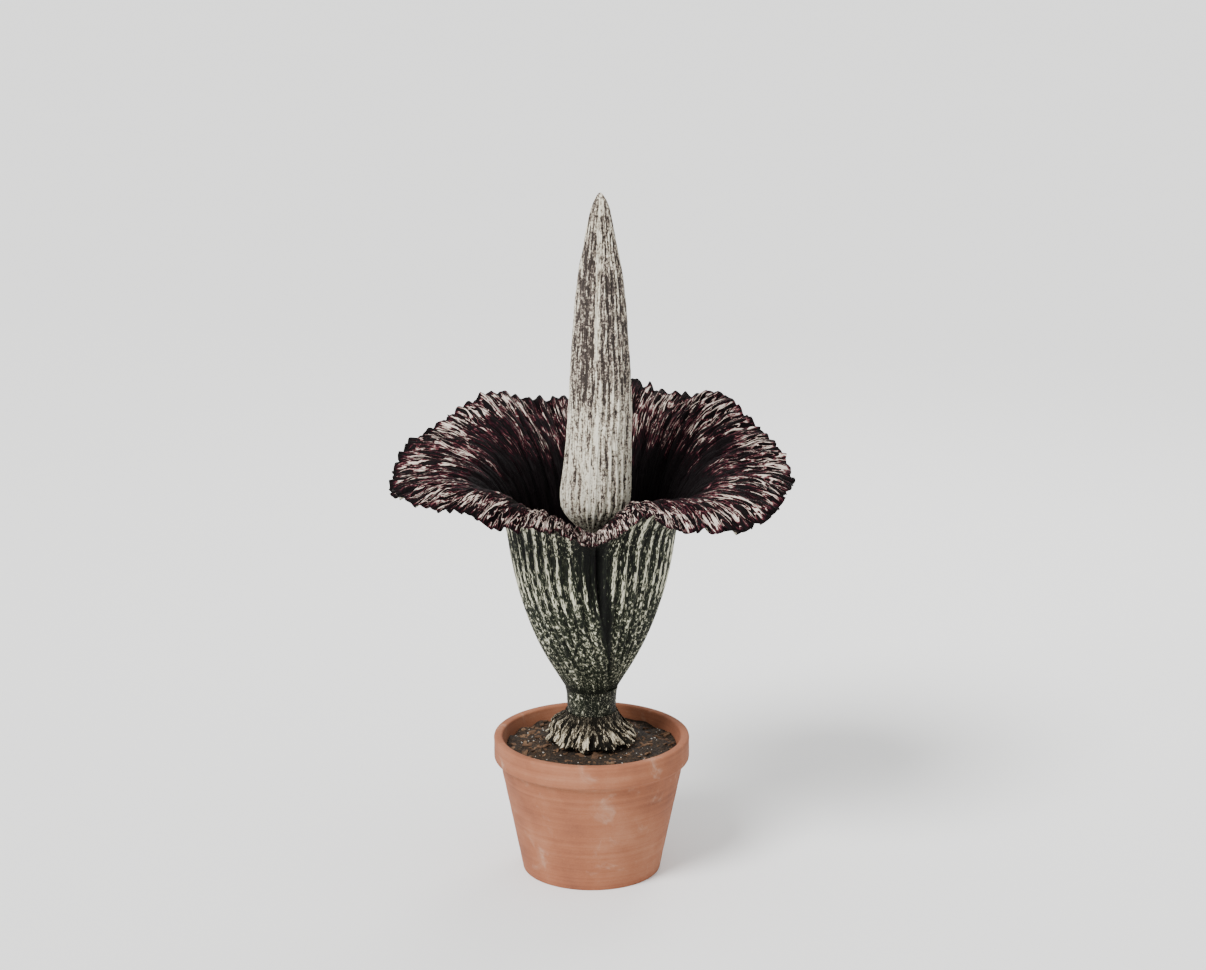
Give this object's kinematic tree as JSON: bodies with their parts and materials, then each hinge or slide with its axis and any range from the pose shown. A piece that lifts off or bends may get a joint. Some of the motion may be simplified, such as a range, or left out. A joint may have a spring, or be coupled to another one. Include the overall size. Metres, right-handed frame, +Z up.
{
  "type": "potted titan arum",
  "caption": "Titan arum in flower: a tall fluted spadix inside a wide pleated spathe, on a short mottled stalk with dry sheaths, in soil in a plain clay pot.",
  "frame": {"origin": "middle of the pot's underside, where it stands", "axes": "+Z up along the plant, -Y towards the front, where the spathe's two margins overlap, +X to the viewer's right"},
  "size_m": [1.2156, 0.9128, 2.102],
  "materials": {
    "terracotta": "matte",
    "potting_soil": "matte",
    "tuber_skin": "matte",
    "mottled_stalk": "satin",
    "dry_sheath": "matte",
    "spathe": "satin",
    "pistillate": "satin",
    "staminate": "matte",
    "spadix": "satin"
  },
  "bodies": {
    "root": {"pot": "terracotta", "soil": "potting_soil", "tuber": "tuber_skin", "peduncle": "mottled_stalk", "sheath_1": "dry_sheath", "sheath_2": "dry_sheath", "sheath_3": "dry_sheath", "sheath_4": "dry_sheath", "sheath_5": "dry_sheath", "sheath_6": "dry_sheath", "sheath_7": "dry_sheath", "sheath_8": "dry_sheath", "spathe": "spathe", "pistillate_flowers": "pistillate", "staminate_flowers": "staminate", "spadix_appendix": "spadix"}
  },
  "joints": []
}
